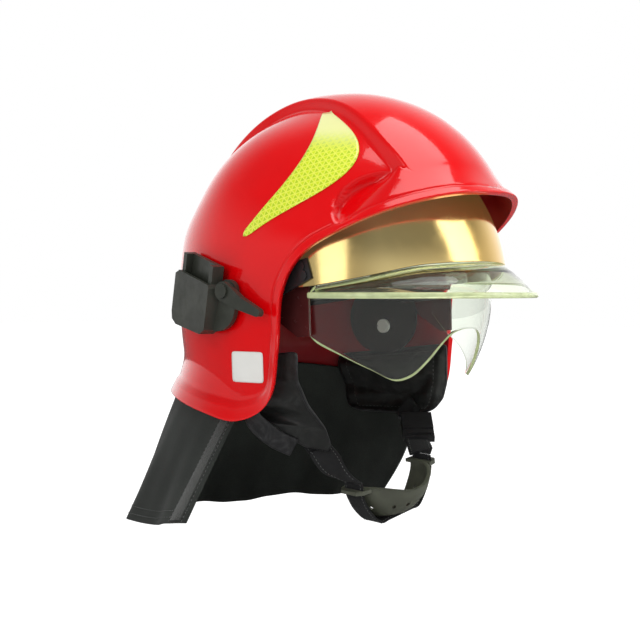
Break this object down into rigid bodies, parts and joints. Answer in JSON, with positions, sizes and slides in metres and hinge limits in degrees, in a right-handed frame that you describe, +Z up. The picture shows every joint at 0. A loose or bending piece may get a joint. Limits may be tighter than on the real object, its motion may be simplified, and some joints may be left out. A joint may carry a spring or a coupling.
{
  "type": "fire helmet",
  "caption": "Firefighter's helmet with a gold face shield parked under its brim, a clear eye visor, lamp bracket, head harness, neck curtain and chin cup.",
  "frame": {"origin": "middle of the head opening, level with the axis that both visors turn about", "axes": "the wearer faces -Y, +X is the wearer's left, +Z is up"},
  "size_m": [0.2691, 0.3687, 0.3601],
  "materials": {
    "shell_paint": "glossy red paint on a moulded shell",
    "reflective_film": "fluorescent yellow prismatic film",
    "label": "plain satin sticker",
    "foam": "dark moulded foam",
    "black_plastic": "satin moulded plastic",
    "grey_plastic": "satin moulded plastic",
    "white_plastic": "smooth moulded plastic",
    "red_plastic": "smooth moulded plastic",
    "dark_red_plastic": "smoky red translucent plastic",
    "leather": "soft grained leather",
    "webbing": "woven webbing",
    "steel": "satin steel",
    "gold_coat": "mirror-like gold vapour coat on clear plastic",
    "clear_plastic": "clear polished plastic",
    "bracket_plastic": "fine grained moulded plastic",
    "rubber": "matte rubber",
    "curtain_cloth": "flame resistant felt-like wool cloth",
    "cup_rubber": "smooth grey-green rubber"
  },
  "bodies": {
    "shell": {"outer_shell": "shell_paint", "film_right": "reflective_film", "film_left": "reflective_film", "side_label": "label", "impact_liner": "foam", "liner_crown": "foam", "headband": "black_plastic", "brow_pad": "leather", "crown_strap_long": "webbing", "crown_strap_cross": "webbing", "band_mounts": "black_plastic", "ratchet_housing": "black_plastic", "nape_pad": "leather", "cheek_pad_right": "leather", "cheek_pad_left": "leather", "ear_plate_right": "black_plastic", "ear_plate_left": "black_plastic", "plate_screws": "white_plastic", "visor_pivots": "black_plastic", "pivot_spacers": "grey_plastic", "pivot_screws": "steel", "lamp_bracket": "bracket_plastic", "bracket_pad": "rubber", "lever_pin": "steel", "neck_curtain": "curtain_cloth", "curtain_tape": "curtain_cloth", "chin_strap_right": "webbing", "chin_strap_left": "webbing", "nape_strap_right": "leather", "chin_cup": "cup_rubber", "cup_strap": "webbing", "buckle_body": "black_plastic", "buckle_tongue": "black_plastic"},
    "face_shield": {"face_shield": "gold_coat", "shield_lip": "clear_plastic", "shield_arm_right": "grey_plastic", "shield_arm_left": "grey_plastic", "shield_rivets": "steel"},
    "eye_visor": {"eye_visor": "clear_plastic", "eye_arm_right": "dark_red_plastic", "eye_arm_left": "dark_red_plastic"},
    "lamp_lever": {"lamp_lever": "bracket_plastic"},
    "ratchet_knob": {"ratchet_knob": "black_plastic"},
    "buckle_button": {"buckle_button": "red_plastic"}
  },
  "joints": [
    {"name": "face_shield_hinge", "type": "hinge", "parent": "shell", "child": "face_shield", "pos_m": [0, -0.01, 0], "axis": [1, 0, 0], "range_deg": [0, 45]},
    {"name": "eye_visor_hinge", "type": "hinge", "parent": "shell", "child": "eye_visor", "pos_m": [0, -0.01, 0], "axis": [-1, 0, 0], "range_deg": [0, 40]},
    {"name": "lamp_lever_hinge", "type": "hinge", "parent": "shell", "child": "lamp_lever", "pos_m": [-0.12, 0.007, 0], "axis": [-1, 0, 0], "range_deg": [0, 80]},
    {"name": "ratchet_turn", "type": "hinge", "parent": "shell", "child": "ratchet_knob", "pos_m": [0, 0.0968, -0.00913], "axis": [0, 0.9848, -0.1736], "range_deg": [-180, 180]},
    {"name": "button_press", "type": "slide", "parent": "shell", "child": "buckle_button", "axis": [-0.3167, -0.2614, 0.9118], "range_m": [0, 0.002], "stiffness_N_per_m": 300}
  ]
}
